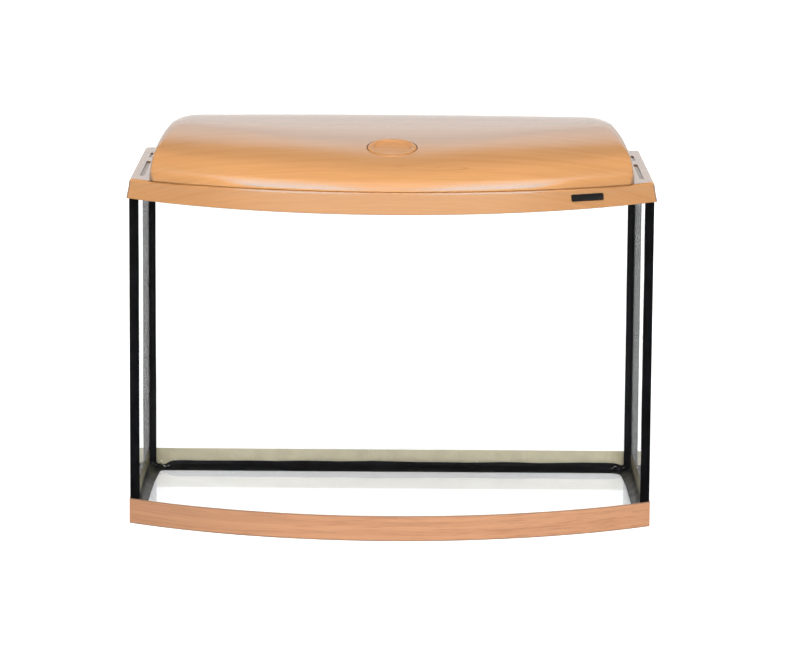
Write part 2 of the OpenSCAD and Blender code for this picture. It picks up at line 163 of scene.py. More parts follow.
def loft(rings, closed=False):
    """Skin over rings that all have the same number of points, capped unless closed on itself."""
    count = len(rings[0])
    verts = [tuple(p) for ring in rings for p in ring]
    index = [range(r * count, (r + 1) * count) for r in range(len(rings))]
    faces = []
    for one, two in zip(index, index[1:]):
        faces += quad_band(one, two)
    if closed:
        faces += quad_band(index[-1], index[0])
    else:
        faces += [tuple(index[0]), tuple(index[-1])]
    return verts, faces


# ---------- shader helpers ----------


def operator(operation):
    """Method that puts a value through a math node, alone or with another on its right."""
    return lambda value, other=0.0: value.graph.math(operation, value, other)


class Value:
    """One output in a shader; arithmetic on it adds math nodes."""

    def __init__(self, graph, socket):
        self.graph = graph
        self.socket = socket

    __add__ = operator("ADD")
    __sub__ = operator("SUBTRACT")
    __mul__ = operator("MULTIPLY")
    __truediv__ = operator("DIVIDE")
    __pow__ = operator("POWER")
    __abs__ = operator("ABSOLUTE")
    at_least = operator("MAXIMUM")
    at_most = operator("MINIMUM")
    root = operator("SQRT")
    sine = operator("SINE")
    arcsine = operator("ARCSINE")

    def __rsub__(self, other):
        return self.graph.math("SUBTRACT", other, self)

    def ramp(self, low, high, out_low=0.0, out_high=1.0):
        """Smooth step between two levels as this value goes from low to high."""
        inputs = {"Value": self, "From Min": low, "From Max": high, "To Min": out_low, "To Max": out_high}
        return self.graph.read("MapRange", "Result", inputs, interpolation_type="SMOOTHSTEP")

    def fall(self, low, high):
        return self.ramp(low, high, 1.0, 0.0)


class Graph:
    """Builds a node tree with short calls."""

    def __init__(self, tree):
        self.tree = tree
        tree.nodes.clear()

    def node(self, kind, inputs=None, **settings):
        made = self.tree.nodes.new("ShaderNode" + kind)
        for name, value in settings.items():
            setattr(made, name, value)
        self.fill(made, inputs or {})
        return made

    def fill(self, made, inputs):
        """Links or sets a node's inputs; a colour may leave out its alpha."""
        for key, value in inputs.items():
            socket = made.inputs[key]
            if isinstance(value, Value):
                self.tree.links.new(value.socket, socket)
            elif socket.type == "RGBA":
                socket.default_value = tuple(value) + (1.0,)
            else:
                socket.default_value = value

    def read(self, kind, output, inputs=None, **settings):
        """One output of a new node."""
        return Value(self, self.node(kind, inputs, **settings).outputs[output])

    def path(self, name):
        return self.read("LightPath", name)

    def math(self, operation, a, b):
        return self.read("Math", 0, {0: a, 1: b, 2: 0.0}, operation=operation)

    def mix(self, share, a, b, blend="MIX"):
        """Two colours mixed."""
        return self.read("Mix", 2, {0: share, 6: a, 7: b}, data_type="RGBA", blend_type=blend)

    def mix_shaders(self, share, a, b):
        return self.read("MixShader", 0, {0: share, 1: a, 2: b})

    def noise(self, vector, scale, detail=2.0, rough=0.5):
        inputs = {"Vector": vector, "Scale": scale, "Detail": detail, "Roughness": rough, "Distortion": 0.0}
        return self.read("TexNoise", "Fac", inputs)

    def vector(self, x, y, z=0.0):
        return self.read("CombineXYZ", 0, {0: x, 1: y, 2: z})

    def split(self, vector):
        return [Value(self, part) for part in self.node("SeparateXYZ", {0: vector}).outputs]

    def position(self):
        """Object coordinates split into x, y and z, plus the vector itself."""
        vector = self.read("TexCoord", "Object")
        return *self.split(vector), vector

    def bump(self, height, strength, distance):
        return self.read("Bump", "Normal", {"Height": height, "Strength": strength, "Distance": distance})


WHITE = (1.0, 1.0, 1.0)
BOX_LEVEL = 11.5  # brightness of the soft boxes in reflections
SEEN_LEVEL = 1.02  # brightness of the studio looked at directly
PAPER_LEVEL = 0.72  # brightness the floor paper gives off where it is looked at
VEIL_PAINTED_SHADE = (0.12, 0.07, 0.04)  # painted shade: print colour where the surface mirrors the backdrop or a soft box
# painted shade for the inside of the ledge slots
SLOT_PAINTED_SHADE = (0.05, 0.04, 0.035)
CARD_SHADE = (0.03, 0.03, 0.033)


def studio_levels(x, y, z):
    """What lies in a direction: elevation, how far behind, the backdrop's edge and the boxes."""
    height = z.arcsine() * (180 / math.pi)
    facing = y.ramp(-0.25, 0.35)
    turn = (abs(x) / y.at_least(0.2)).at_most(0.35)
    edge = height + turn * 20.0
    # Where the direction meets a ceiling one unit up.
    lift = z.at_least(0.05)
    across = abs(x / lift)
    along = y / lift
    widening = (along * -1.0).at_least(0.0) * 0.55
    outer = (across - widening).fall(0.36, 0.58)
    boxes = across.ramp(0.05, 0.30, 0.30, 1.0) * outer
    boxes = boxes * along.ramp(-1.45, -1.15) * along.fall(-0.9, 0.7)
    return height, facing, edge, boxes


def new_material(name):
    """Empty node material with its graph, a Principled shader and an output."""
    material = bpy.data.materials.new(name)
    material.use_nodes = True
    graph = Graph(material.node_tree)
    shader = graph.node("BsdfPrincipled")
    surface = Value(graph, shader.outputs[0])
    output = graph.node("OutputMaterial", {"Surface": surface})
    return material, graph, shader, surface, output


# ---------- materials ----------


def plastic(name, base, rough, grain=900.0, depth=0.00002, spread=0.12, metallic=0.0, painted_glow_level=0.0, gloss=0.5):
    """Moulded or metal surface: uneven tone, uneven gloss, a fine moulded texture and, if asked, a painted
    glow.
    """
    material, g, shader, _, _ = new_material(name)
    *_, where = g.position()
    cloudy = g.noise(where, 22.0, 4.0, 0.6)
    fine = g.noise(where, grain, 2.0, 0.6)
    dark = tuple(c * (1 - spread) for c in base)
    light = tuple(min(1.0, c * (1 + spread)) for c in base)
    tone = g.mix(cloudy.ramp(0.3, 0.7), dark, light)
    g.fill(shader, {
        "Base Color": g.mix(fine.ramp(0.35, 0.75, 0.0, 0.18), tone, dark),
        "Roughness": cloudy.ramp(0.25, 0.75, rough * 0.82, min(1.0, rough * 1.2)),
        "Metallic": metallic,
        "Specular IOR Level": gloss,
        "Emission Color": tone,
        "Emission Strength": painted_glow_level,
        "Normal": g.bump(fine, 0.5, depth),
    })
    return material


def clear_glass():
    """Float glass: clear through the face, green along the ground top edge, with faint smears."""
    material, g, shader, surface, output = new_material("float_glass")
    _, _, z, where = g.position()
    smear = g.noise(where, 14.0, 5.0, 0.65)
    ground = z.ramp((GLASS_TOP - 1.4) * MM, (GLASS_TOP - 0.8) * MM)
    g.fill(shader, {
        "Base Color": g.mix(ground, (0.997, 1.0, 0.998), (0.25, 0.60, 0.48)),
        "Transmission Weight": 1.0,
        "IOR": 1.5,
        "Roughness": smear.ramp(0.62, 0.85, 0.0, 0.02) + ground * 0.3,
    })
    # Light that only brightens other surfaces goes straight through.
    soft = g.path("Is Shadow Ray").at_least(g.path("Is Diffuse Ray"))
    through = g.read("BsdfTransparent", 0, {"Color": (0.965, 0.97, 0.967)})
    tint = g.read("VolumeAbsorption", 0, {"Color": (0.55, 0.90, 0.80), "Density": 0.7})
    g.fill(output, {"Surface": g.mix_shaders(soft, surface, through), "Volume": tint})
    return material


def silicone(name, gloss, rough_low, rough_high):
    """Black tooled silicone: skin with long drag marks, dull patches and small pits."""
    material, g, shader, _, _ = new_material(name)
    x, y, z, where = g.position()
    drag = g.noise(g.vector(x * 0.12, y * 0.12, z), 700.0, 3.0, 0.6)
    patch = g.noise(where, 45.0, 4.0, 0.6)
    speck = g.noise(where, 1600.0, 2.0, 0.5)
    tone = g.mix(patch.ramp(0.35, 0.7), (0.0025, 0.0025, 0.003), (0.005, 0.005, 0.0065))
    g.fill(shader, {
        "Base Color": g.mix(speck.ramp(0.74, 0.82), tone, (0.016, 0.016, 0.018)),
        "Roughness": patch.ramp(0.3, 0.75, rough_low, rough_high),
        "Specular IOR Level": gloss,
        "Normal": g.bump(drag + patch * 2.0, 0.25, 0.00006),
    })
    return material


def flame(u, v, figure, patches):
    """Weight of the dark lines of a flame figure: broken rings round one point of the print."""
    centre_u, centre_v, long, wide, turns = figure
    du = (u - centre_u) / long
    dv = (v - centre_v) / wide
    radius = (du * du + dv * dv).root()
    lines = (radius * turns).sine().ramp(0.55, 1.0, 0.0, 0.55)
    return lines * radius.fall(0.9, 2.6) * patches.ramp(0.35, 0.6, 0.25, 1.0)


def beech(name, colours, plan, gloss, painted_reflection_veil=0.0, shine=0.5, streaks=0.12, figure=None,
          edge_lines=None, rim_below=None, ends=None, slots=None):
    """Printed beech: fibres, growth bands, short flecks and, on the lid, one tall flame figure."""
    material, g, shader, _, _ = new_material(name)
    light, dark, deep = colours
    x, y, z, where = g.position()
    u, v = plan(x, y, z)

    def field(scale_u, scale_v, detail, rough=0.55, shift=0.0):
        return g.noise(g.vector(u * scale_u, v * scale_v, shift), 1.0, detail, rough)

    v = v + (field(3.0, 7.0, 2.0) - 0.5) * 0.020
    bands = field(1.3, 150.0, 4.0, 0.6, 3.1)
    broad = field(1.2, 22.0, 2.0, 0.5, 8.7)
    fibre = field(15.0, 1500.0, 3.0, 0.65, 5.3)
    flecks = field(260.0, 1500.0, 1.0, 0.5, 1.9)
    streak = field(28.0, 620.0, 2.0, 0.6, 4.4)
    tone = g.mix(bands.ramp(0.40, 0.68, 0.0, 0.75), light, dark)
    tone = g.mix(broad.ramp(0.35, 0.75, 0.0, 0.25), tone, dark)
    tone = g.mix(fibre.ramp(0.40, 0.70, 0.0, 0.26), tone, deep)
    tone = g.mix(flecks.ramp(0.66, 0.76, 0.0, 0.20), tone, deep)
    tone = g.mix(streak.ramp(0.50, 0.66, 0.0, streaks), tone, deep)
    if figure:
        tone = g.mix(flame(u, v, figure, field(9.0, 60.0, 2.0, 0.5, 6.6)), tone, deep)
    if edge_lines:
        low, high, width, edge_colour = edge_lines
        top = z.ramp(high - width, high - width * 0.3)
        foot = z.fall(low + width * 0.3, low + width)
        tone = g.mix(top.at_least(foot) * 0.7, tone, edge_colour)
    if rim_below:
        # The rim below the ledge is made a little darker and bluer.
        rim_darker = g.mix(1.0, tone, (0.86, 0.86, 0.88), "MULTIPLY")
        tone = g.mix(z.fall(rim_below - 0.0012, rim_below), tone, rim_darker)
    if ends:
        level = ends(x, y, z)
        tone = g.mix(1.0, tone, g.vector(level, level, level), "MULTIPLY")
    if slots:
        inside = slots(x, y, z)
        # Painted shade inside the ledge slots.
        tone = g.mix(inside * 0.72, tone, SLOT_PAINTED_SHADE)
        shine = inside.ramp(0.0, 1.0, shine, shine * 0.1)
    # Painted shade: the print is pulled toward a dark tone wherever the surface mirrors the backdrop or a
    # soft box.
    if painted_reflection_veil:
        _, facing, edge, boxes = studio_levels(*g.split(g.read("TexCoord", "Reflection")))
        veil_share = edge.ramp(30.0, 37.5, 0.47, 0.0) + edge.ramp(38.5, 45.5, 0.24, 0.0)
        veil_share = (veil_share * facing + boxes * 0.75) * painted_reflection_veil
        tone = g.mix(veil_share, tone, VEIL_PAINTED_SHADE)
    scuff = g.noise(where, 60.0, 4.0, 0.6)
    pebble = g.noise(where, 1100.0, 2.0, 0.5)
    g.fill(shader, {
        "Base Color": tone,
        "Roughness": scuff.ramp(0.3, 0.75, gloss * 0.85, gloss * 1.25),
        "IOR": 1.5,
        "Specular IOR Level": shine,
        "Normal": g.bump(fibre * 0.5 + pebble, 0.08, 0.00002),
    })
    return material


def lid_slots(x, y, z):
    """1 on the walls and floor of the ledge slots, where shade is painted in, 0 elsewhere."""
    sideways = abs(x)
    ledge = sideways.ramp(0.2775, 0.2785) * sideways.fall(0.2955, 0.2965)
    sunk = z.fall((LEDGE_Z - 0.3) * MM, (LEDGE_Z - 0.1) * MM)
    return ledge * sunk * y.ramp(-0.130, -0.125)


def lid_end_shade(x, y, z):
    """Painted shade: the lid darkens a little toward both ends, most of all low on the dome."""
    end = x.ramp(0.12, 0.24).at_least(x.fall(-0.25, -0.16))
    low = z.ramp(LEDGE_Z * MM, (LEDGE_Z + 3.0) * MM) * z.fall(0.414, 0.424)
    return 1.0 - end * low.ramp(0.0, 1.0, 0.06, 0.14)


def strip_ends(x, y, z):
    """The trim strip is a shade darker at its left end."""
    return x.ramp(-0.26, -0.05, 0.86, 1.0)


def strip_back():
    """Glued side of the trim strip: grey-green board with rows of trapped glue bubbles."""
    material, g, shader, _, _ = new_material("strip_glue_side")
    x, y, z, where = g.position()
    mottled = g.noise(where, 90.0, 4.0, 0.6)
    patch = g.noise(g.vector(x + y, z * 2.0), 9.0, 2.0, 0.5)
    tone = g.mix(mottled.ramp(0.3, 0.7), STRIP_BOARD, STRIP_BOARD_DARK)
    tone = g.mix(patch.ramp(0.55, 0.62, 0.0, 0.35), tone, STRIP_PATCH)
    spots = g.read("TexVoronoi", "Distance", {"Vector": where, "Scale": 210.0}, feature="F1")
    near = spots.fall(0.16, 0.30)
    row = z.fall(0.0150, 0.0170)
    some = g.noise(where, 38.0, 1.0, 0.5).ramp(0.5, 0.56)
    g.fill(shader, {
        "Base Color": g.mix(near * row * some, tone, STRIP_BUBBLE),
        "Roughness": mottled.ramp(0.3, 0.7, 0.35, 0.6),
        "Normal": g.bump(near, 0.4, 0.0003),
    })
    return material


def lid_print(x, y, z):
    """The grain runs along the length; across it the print follows the rise of the dome."""
    bend = (abs(x) / 0.276) ** 3.0
    return x, y * 0.45 + z * 1.6 + bend * 0.028


def strip_print(x, y, z):
    """The grain runs round the foot."""
    return x + y, z


STRIP_BOARD = (0.658375, 0.597202, 0.412543)
STRIP_BOARD_DARK = (0.57758, 0.514918, 0.351533)
STRIP_PATCH = (0.456411, 0.391572, 0.254152)
STRIP_BUBBLE = (0.938686, 0.896269, 0.730461)

GLASS = clear_glass()
SILICONE = silicone("black_silicone", 0.10, 0.30, 0.45)
SMEAR = silicone("smeared_silicone", 0.9, 0.06, 0.14)
# The lid and the plug carry painted shade where they mirror the backdrop or a soft box.
LID_BEECH = beech(
    "lid_beech", ((0.65, 0.325, 0.128), (0.59, 0.282, 0.104), (0.42, 0.18, 0.058)), lid_print, 0.11,
    painted_reflection_veil=1.0, figure=(0.045, 0.585, 0.030, 0.0045, 6.0), rim_below=(GLASS_TOP + 2.4) * MM, ends=lid_end_shade,
    slots=lid_slots)
PLUG_BEECH = beech(
    "plug_beech", ((0.49, 0.238, 0.094), (0.42, 0.196, 0.071), (0.30, 0.128, 0.042)), lid_print, 0.32,
    painted_reflection_veil=0.15, shine=0.12)
STRIP_BEECH = beech(
    "strip_beech", ((0.62, 0.322, 0.172), (0.52, 0.252, 0.130), (0.37, 0.165, 0.082)), strip_print, 0.45,
    streaks=0.42, edge_lines=(0.0, TRIM_H * MM, 0.0016, (0.20, 0.105, 0.06)), ends=strip_ends)
STRIP_BACK = strip_back()
# The floor sheet is given a painted glow, so that the tank's floor looks bright under the lid.
PAINTED_GLOW_SHEET = plastic("white_sheet", (0.76, 0.765, 0.785), 0.6, 500.0, 0.00003, 0.02, painted_glow_level=0.52)
BADGE = plastic("badge_plastic", (0.009, 0.008, 0.008), 0.5, 1400.0, gloss=0.12)
TUBE_WHITE = plastic("lamp_white", (0.82, 0.83, 0.84), 0.18, 700.0, 0.00001, 0.03)
PIN_METAL = plastic("pin_metal", (0.72, 0.73, 0.75), 0.3, 1200.0, 0.00002, 0.08, 1.0)
SCREW_STEEL = plastic("screw_steel", (0.55, 0.55, 0.56), 0.34, 1500.0, 0.00003, 0.12, 1.0)
TIN = plastic("ballast_tin", (0.6, 0.6, 0.6), 0.4, 600.0, 0.00003, 0.1, 1.0)
GREY = plastic("grey_plastic", (0.10, 0.105, 0.115), 0.5)
DARK = plastic("dark_plastic", (0.022, 0.023, 0.026), 0.5)
RUBBER = plastic("soft_rubber", (0.012, 0.012, 0.013), 0.65, 1300.0, 0.00004)
NYLON = plastic("terminal_nylon", (0.68, 0.65, 0.57), 0.42)
SLEEVE = plastic("lead_sleeve", (0.66, 0.66, 0.63), 0.4)

# ---------- glass panes ----------


def slab_section(inner, outer, low, high, edge):
    """Upright slab section with small chamfers, as (offset, height) pairs."""
    return [
        (inner + edge, low), (outer - edge, low), (outer, low + edge), (outer, high - edge),
        (outer - edge, high), (inner + edge, high), (inner, high - edge), (inner, low + edge),
    ]


def bow_path(half, radius, count, square_ends):
    """Points along the bowed front with the way out of the tank; ends may be cut square to X."""
    path = []
    turn = math.asin(half / radius)
    for k in range(count + 1):
        angle = -turn + 2 * turn * k / count
        out = (math.sin(angle), -math.cos(angle))
        if square_ends and k in (0, count):
            out = (0.0, -1.0 / math.cos(angle))
        path.append(((radius * math.sin(angle), BOW_CY - radius * math.cos(angle)), out))
    return path


def line_path(start, end, out, count):
    """Points along a straight side with the way out of the tank."""
    return [
        ((start[0] + (end[0] - start[0]) * k / count, start[1] + (end[1] - start[1]) * k / count), out)
        for k in range(count + 1)
    ]


def side_paths(low_y, high_y, bow_count, back_count, side_count):
    """Path of each of the tank's four sides by name."""
    paths = {
        "front": bow_path(HALF_L, BOW_R, bow_count, True),
        "back": line_path((HALF_L, BACK_Y), (-HALF_L, BACK_Y), (0, 1), back_count),
    }
    for side, word in ((-1, "left"), (1, "right")):
        paths[word] = line_path((side * HALF_L, low_y), (side * HALF_L, high_y), (side, 0), side_count)
    return paths


def sweep(path, section):
    """Skin of a section carried along a path."""
    return loft([[(x + out_x * o, y + out_y * o, z) for o, z in section] for (x, y), (out_x, out_y) in path])


def base_outline(inset):
    """Plan of the tank's base: bowed front, straight sides and back."""
    half = BASE_HIGH[0] - inset
    back = BASE_HIGH[1] - inset
    radius = BOW_CY - BASE_LOW[1] - inset
    front = [point for point, _ in bow_path(half, radius, 64, False)]
    return front + [(half, back), (-half, back)]


def base_shape(low, high, edge):
    """Flat sheet in the shape of the base with chamfered edges."""
    levels = ((edge, low), (0, low + edge), (0, high - edge), (edge, high))
    return loft([[(x, y, z) for x, y in base_outline(inset)] for inset, z in levels])


def build_glass():
    """Front, back and side panes, the base pane and the white sheet under it, which has a painted glow."""
    section = slab_section(-WALL, 0, 0, GLASS_TOP, 0.6)
    for word, path in side_paths(LEFT_LOW[1], LEFT_HIGH[1], 96, 4, 4).items():
        piece(word + "_pane", sweep(path, section), "tank", GLASS, "clear_glass", word + "_glass")
    base = base_shape(BASE_LOW[2] + EMBED, FLOOR_Z, 0.4)
    piece("base_pane", base, "tank", GLASS, "clear_glass", "base_glass")
    sheet = base_shape(SHEET_LOW[2], BASE_LOW[2] + 2 * EMBED, 0.1)
    piece("floor_sheet", sheet, "tank", PAINTED_GLOW_SHEET, "white_sheet", "base_sheet")


# ---------- silicone ----------


def wobble(x, y, seed, scale, amount):
    """Smooth repeatable irregularity, about -amount to amount."""
    return amount * noise.noise(Vector((x * scale, y * scale, seed * 7.31)))


def front_corner_ring(side, z, seed, size):
    """Plan outline of a front corner bead at one height."""
    bead = size + wobble(z * 0.012, seed, seed, 1.0, 0.3)
    inside = BOW_R - WALL + EMBED
    back = LEFT_LOW[1] + EMBED
    edge_x = HALF_L - 0.05
    reach_x = INNER_X - bead
    points = [
        (edge_x, back),
        (edge_x, bow_y(edge_x, inside)),
        (INNER_X, bow_y(INNER_X, inside)),
        (reach_x, bow_y(reach_x, inside)),
        (reach_x + 0.5, bow_y(reach_x, inside) + 0.5),
        (INNER_X - bead * 0.42, back - bead * 0.32 + 0.6),
        (INNER_X - 0.6, back + bead * 0.55),
        (INNER_X + EMBED, back + bead),
        (INNER_X + EMBED, back),
    ]
    return [(side * x, y, z) for x, y in points]


def back_corner_ring(side, z, seed, size):
    """Plan outline of a back corner bead at one height: joint fill and a hollow face."""
    bead = size + wobble(z * 0.010, seed, seed, 1.0, 0.3)
    hollow = 0.62
    lip = 0.35
    wall_back = INNER_BACK + EMBED
    joint_front = LEFT_HIGH[1] - EMBED
    edge_x = HALF_L - 0.1
    side_x = INNER_X + EMBED
    points = [(edge_x, joint_front), (edge_x, wall_back), (side_x, wall_back), (INNER_X - bead, wall_back)]
    steps = 7
    for k in range(steps + 1):
        angle = math.radians(90.0 * k / steps)
        straight = (k / steps) * (1 - hollow)
        x = INNER_X - bead + bead * ((1 - math.cos(angle)) * hollow + straight)
        y = wall_back - lip - (bead - lip) * (straight + math.sin(angle) ** 3 * hollow)
        points.append((x, y))
    points += [(side_x, wall_back - bead), (side_x, joint_front)]
    return [(side * x, y, z) for x, y in points]


def build_corner_beads():
    """The four upright beads, each a little uneven along its height."""
    steps = 90
    heights = [3.0 + (GLASS_TOP - 3.4) * k / steps for k in range(steps + 1)]
    for side, word, seed, front_size, back_size in ((-1, "left", 3, 7.3, 7.9), (1, "right", 11, 7.0, 8.4)):
        front = loft([front_corner_ring(side, z, seed, front_size) for z in heights])
        back = loft([back_corner_ring(side, z, seed + 5, back_size) for z in heights])
        for name, shape in (("front_" + word, front), ("back_" + word, back)):
            piece("bead_" + name, shape, "tank", SILICONE, "black_silicone", "seal_" + name, sharp=50.0)


def floor_path():
    """Points of the inner wall round the floor, from the front's left end anticlockwise."""
    inside = BOW_R - WALL
    front = [point for point, _ in bow_path(INNER_X, inside, 120, False)]
    corner_y = front[-1][1]
    right = line_path((INNER_X, corner_y), (INNER_X, INNER_BACK), None, 90)
    back = line_path((INNER_X, INNER_BACK), (-INNER_X, INNER_BACK), None, 160)
    left = line_path((-INNER_X, INNER_BACK), (-INNER_X, corner_y), None, 90)
    return front + [point for point, _ in right[1:] + back[1:] + left[1:-1]]


def rounded_inside(point, leg, corner):
    """Point on the bead's floor edge: the wall point moved in by leg, round the back corners."""
    half = INNER_X - leg
    back = INNER_BACK - leg
    x = clamp(point[0], -half, half)
    y = max(bow_y(x, BOW_R - WALL - leg), min(back, point[1]))
    dx = abs(x) - (half - corner)
    dy = y - (back - corner)
    if dx > 0 and dy > 0:
        length = math.hypot(dx, dy)
        x = math.copysign(half - corner + dx * corner / length, x)
        y = back - corner + dy * corner / length
    return x, y


def base_bead_ring(point, seed):
    """Section of the bead round the floor at one wall point."""
    x, y = point
    to_back = clamp((y - 60.0) / 60.0)
    rough = wobble(x * 0.02, y * 0.02, seed, 1.0, 0.8) + wobble(x * 0.07, y * 0.07, seed + 2, 1.0, 0.25)
    leg = 10.6 + 2.6 * to_back + 0.5 * rough
    rise = 8.6 + 1.2 * to_back + 1.1 * rough
    for dip_x, width, depth in ((-280.0, 8.0, 6.0), (284.0, 5.0, 2.6)):
        rise -= depth * math.exp(-(((x - dip_x) / width) ** 2)) * to_back
    corner = 7.0 if x < 0 else 15.0
    lip = 0.35
    floor_x, floor_y = rounded_inside(point, leg, corner)
    span = math.hypot(x - floor_x, y - floor_y)
    out_x, out_y = (x - floor_x) / span, (y - floor_y) / span

    def at(ahead, z):
        """Point at a distance outward from the bead's floor edge."""
        return (floor_x + out_x * ahead, floor_y + out_y * ahead, z)

    ring = [at(0.0, FLOOR_Z - EMBED), at(-0.1, FLOOR_Z + lip)]
    steps = 8
    for k in range(1, steps + 1):
        t = k / steps
        up = rise * (0.30 * t + 0.70 * t**2.6)
        ring.append(at(span * (1 - (1 - t) ** 1.35), FLOOR_Z + lip + up))
    foot = BASE_LOW[2] + 0.2
    ring += [at(span + EMBED, FLOOR_Z + rise), at(span + EMBED, foot)]
    ring += [at(span - 0.9, foot), at(span - 0.9, FLOOR_Z - EMBED)]
    return ring


def build_base_bead():
    """One bead all round the floor, standing for the CAD's four."""
    shape = loft([base_bead_ring(point, 21) for point in floor_path()], closed=True)
    nodes = ["seal_base_" + word for word in ("front", "back", "left", "right")]
    piece("bead_floor", shape, "tank", SILICONE, "black_silicone", *nodes, sharp=50.0)


def lathe(profile, place, segments):
    """Closed turned shape from (radius, height) pairs that start and end on the axis."""
    verts, faces = [], []
    rings = []
    for radius, height in profile:
        count = segments if radius else 1
        rings.append(list(range(len(verts), len(verts) + count)))
        for k in range(count):
            angle = TAU * k / count
            verts.append(place(radius * math.cos(angle), radius * math.sin(angle), height))
    for low, high in zip(rings, rings[1:]):
        if len(low) == 1:
            faces += [(low[0], high[k], high[(k + 1) % segments]) for k in range(segments)]
        elif len(high) == 1:
            faces += [(low[k], low[(k + 1) % segments], high[0]) for k in range(segments)]
        else:
            faces += quad_band(low, high)
    return verts, faces


def join_shapes(shapes):
    """One list of vertices and faces from several."""
    verts, faces = [], []
    for more_verts, more_faces in shapes:
        start = len(verts)
        verts.extend(more_verts)
        faces.extend(tuple(i + start for i in face) for face in more_faces)
    return verts, faces


def build_corner_daubs():
    """Small smears of silicone where the beads meet in the two back corners."""
    rng = random.Random(17)
    bands = 6
    ball = [(0, -1)]
    ball += [(math.sin(math.pi * k / bands), -math.cos(math.pi * k / bands)) for k in range(1, bands)]
    ball += [(0, 1)]
    shapes = []
    for side, count in ((-1, 7), (1, 8)):
        for _ in range(count):
            along = rng.uniform(2.0, 24.0)
            x = side * (INNER_X - along)
            z = FLOOR_Z + rng.uniform(2.0, 7.0)
            y = INNER_BACK - rng.uniform(2.5, 5.0) - max(0.0, 6.0 - z) * 0.5
            size = rng.uniform(0.8, 1.9)
            long = size * rng.uniform(1.0, 2.6)
            shapes.append(lathe(
                ball, lambda a, b, c: (x + a * long, y + b * size, z + c * size), 14))
    piece("bead_daubs", join_shapes(shapes), "tank", SMEAR, "black_silicone", sharp=80.0)


# ---------- trim strip ----------


def build_trim():
    """Thin strips glued to the glass: printed outside, plain glued inside."""
    section = slab_section(-EMBED, TRIM_T, 0, TRIM_H, 0.25)
    inward = {"front": (0, 1), "back": (0, -1), "left": (1, 0), "right": (-1, 0)}
    for word, path in side_paths(TRIM_LOW[1] - 0.5, TRIM_HIGH[1], 96, 60, 40).items():
        shape = sweep(path, section)
        strip = piece("strip_" + word, shape, "tank", STRIP_BEECH, "pale_beech_strip", "trim_" + word)
        paint(strip, STRIP_BEECH, STRIP_BACK)
        in_x, in_y = inward[word]
        for face in strip.data.polygons:
            if face.normal.x * in_x + face.normal.y * in_y > 0.7:
                face.material_index = 1


# ---------- lid ----------

RIM_X = LID_HIGH[0]
RIM_BACK = LID_HIGH[1]
RIM_NOSE = LID_LOW[1]
RIM_CORNER_Y = FRONT_Y - (RIM_X - HALF_L)
RIM_BOW = RIM_CORNER_Y - RIM_NOSE
RIM_LOW = LID_LOW[2]
RIM_DROP = 3.0  # how much higher the rim's lower edge is at the back
RIM_DRAFT = 3.3
RIM_T = 2.4
RIM_ROUND = 2.5
RIM_FALL_FRONT = 5.0  # height of the softer top rounding along the front
RIM_STEP = 0.6  # how far the ledge drops in front of the dome
FOOT_TUCK = 0.9
DOME_X = HALF_L - 24.0
DOME_BACK = BACK_Y - 12.0
DOME_TOP = LID_HIGH[2]
DOME_T = 2.5
DOME_LIP = 5.0
CREST_R = 640.0
HATCH_TILT = math.radians(13.3)
HATCH_Y = -CREST_R * math.sin(HATCH_TILT)
HATCH_Z = DOME_TOP - CREST_R * (1 - math.cos(HATCH_TILT))
HATCH_R = 29.0

# Distances in from the dome's edges to its first rows of points.
SIDE_STEPS = [0, 0.12, 0.45, 1.0, 1.9, 3.1, 4.7, 6.7, 9.2, 12.3, 16.0, 20.4, 25.6, 31.5, 38.0]
BACK_STEPS = SIDE_STEPS[:-1]
FRONT_STEPS = [0, 0.4, 0.9, 1.5, 2.2, 3.0, 3.9, 4.9, 6.0, 7.2, 8.5, 9.9, 11.4, 13.4, 16.0, 19.2]

REVEAL = 0.5
FOOT_R = 21.0
FOOT_STEEP = math.radians(64.0)
FOOT_EASE = math.radians(19.0)
FOOT_SPAN = FOOT_R * (math.sin(FOOT_STEEP) - math.sin(FOOT_EASE))
FOOT_RISE = FOOT_R * (math.cos(FOOT_EASE) - math.cos(FOOT_STEEP))
HATCH_SPAN = HATCH_Y - RIM_NOSE - DOME_LIP
SWELL_R = (HATCH_SPAN - FOOT_SPAN) / (math.sin(FOOT_EASE) - math.sin(HATCH_TILT))
SIDE_WALL = 10.0
SIDE_TOP = 57.0
SIDE_LEAN = 40.0
SHOULDER_REACH = 45.0
SHOULDER_FRONT = 6.0
SHOULDER_BACK = 42.0
SHOULDER_POWER = 2.3
BACK_REACH = 28.0
BACK_DEPTH = 26.0
CROWN = 2.0
EDGE_R = 4.0
BLEND = 2.0
COLUMN_PITCH = 3.97  # gives an odd number of columns, so that one runs down the middle
LID_SHARP = 38.0


def ease(value):
    """Smooth step from 0 to 1."""
    return value * value * (3 - 2 * value)


def rim_front_y(x, inset=0.0):
    """Y of the rim's front at x, inset from its widest line."""
    radius = arc_radius(RIM_X - inset, RIM_BOW)
    return RIM_NOSE + inset + radius - math.sqrt(max(radius**2 - x**2, 0.0))


def dome_front_y(x):
    """Y of the dome's foot along the front."""
    return rim_front_y(x) + DOME_LIP * 1.02


def soft_min(a, b, width):
    """Smallest of two with the corner rounded over a width."""
    gap = max(width - abs(a - b), 0.0)
    return min(a, b) - gap * gap / (4 * width)


